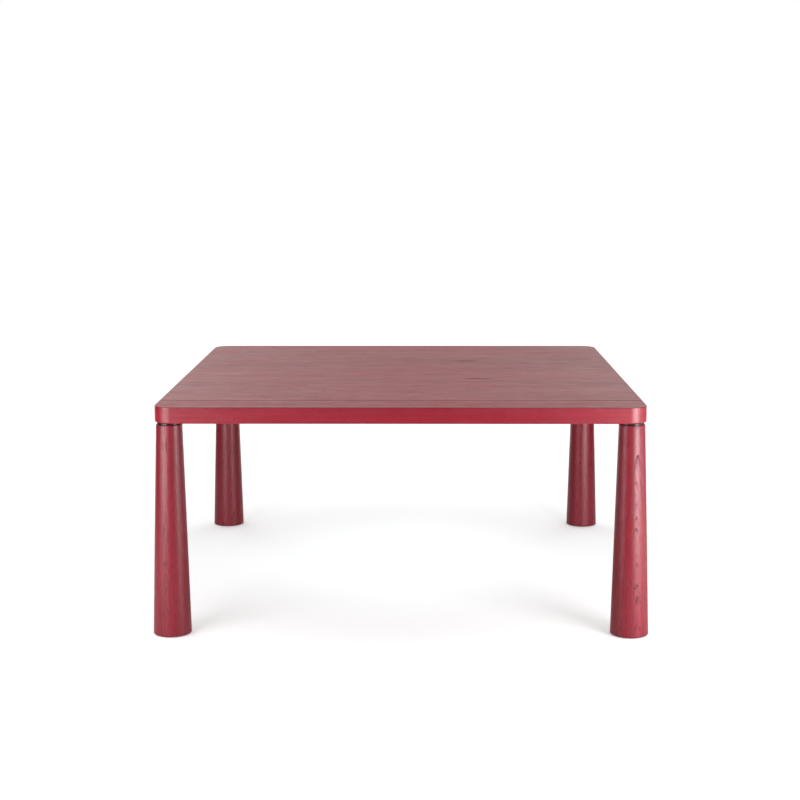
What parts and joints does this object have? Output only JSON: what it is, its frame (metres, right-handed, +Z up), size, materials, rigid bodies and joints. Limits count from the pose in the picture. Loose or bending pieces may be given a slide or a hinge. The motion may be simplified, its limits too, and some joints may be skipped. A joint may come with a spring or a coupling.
{
  "type": "dining table",
  "caption": "Square dining table with a thick red-stained wooden top, rounded corners and turned legs that widen to the floor, each under a dark steel ring.",
  "frame": {"origin": "on the floor, under the centre of the table top", "axes": "+Z up, +X to the right along the grain of the top, +Y to the back, away from the camera"},
  "size_m": [1.629, 1.629, 0.76],
  "materials": {
    "stained_ash": "open-pored ash stained red under a satin lacquer",
    "black_steel": "black coating, half gloss",
    "zinc_steel": "bright zinc plating",
    "brass": "plain turned brass",
    "felt": "dense pressed felt"
  },
  "bodies": {
    "root": {"stave_01": "stained_ash", "stave_02": "stained_ash", "stave_03": "stained_ash", "stave_04": "stained_ash", "stave_05": "stained_ash", "stave_06": "stained_ash", "stave_07": "stained_ash", "stave_08": "stained_ash", "stave_09": "stained_ash", "stave_10": "stained_ash", "stave_11": "stained_ash", "leg_front_left": "stained_ash", "leg_front_right": "stained_ash", "leg_back_left": "stained_ash", "leg_back_right": "stained_ash", "mounting_disc_front_left": "black_steel", "mounting_disc_front_right": "black_steel", "mounting_disc_back_left": "black_steel", "mounting_disc_back_right": "black_steel", "leg_stud_front_left": "zinc_steel", "leg_stud_front_right": "zinc_steel", "leg_stud_back_left": "zinc_steel", "leg_stud_back_right": "zinc_steel", "threaded_insert_front_left": "brass", "threaded_insert_front_right": "brass", "threaded_insert_back_left": "brass", "threaded_insert_back_right": "brass", "felt_pad_front_left": "felt", "felt_pad_front_right": "felt", "felt_pad_back_left": "felt", "felt_pad_back_right": "felt", "disc_screw_front_left_1": "zinc_steel", "disc_screw_front_left_2": "zinc_steel", "disc_screw_front_left_3": "zinc_steel", "disc_screw_front_right_1": "zinc_steel", "disc_screw_front_right_2": "zinc_steel", "disc_screw_front_right_3": "zinc_steel", "disc_screw_back_left_1": "zinc_steel", "disc_screw_back_left_2": "zinc_steel", "disc_screw_back_left_3": "zinc_steel", "disc_screw_back_right_1": "zinc_steel", "disc_screw_back_right_2": "zinc_steel", "disc_screw_back_right_3": "zinc_steel", "steel_channel_1": "black_steel", "steel_channel_2": "black_steel", "steel_channel_3": "black_steel", "channel_screw_1_1": "zinc_steel", "channel_screw_1_2": "zinc_steel", "channel_screw_1_3": "zinc_steel", "channel_screw_1_4": "zinc_steel", "channel_screw_2_1": "zinc_steel", "channel_screw_2_2": "zinc_steel", "channel_screw_2_3": "zinc_steel", "channel_screw_2_4": "zinc_steel", "channel_screw_3_1": "zinc_steel", "channel_screw_3_2": "zinc_steel", "channel_screw_3_3": "zinc_steel", "channel_screw_3_4": "zinc_steel"}
  },
  "joints": []
}
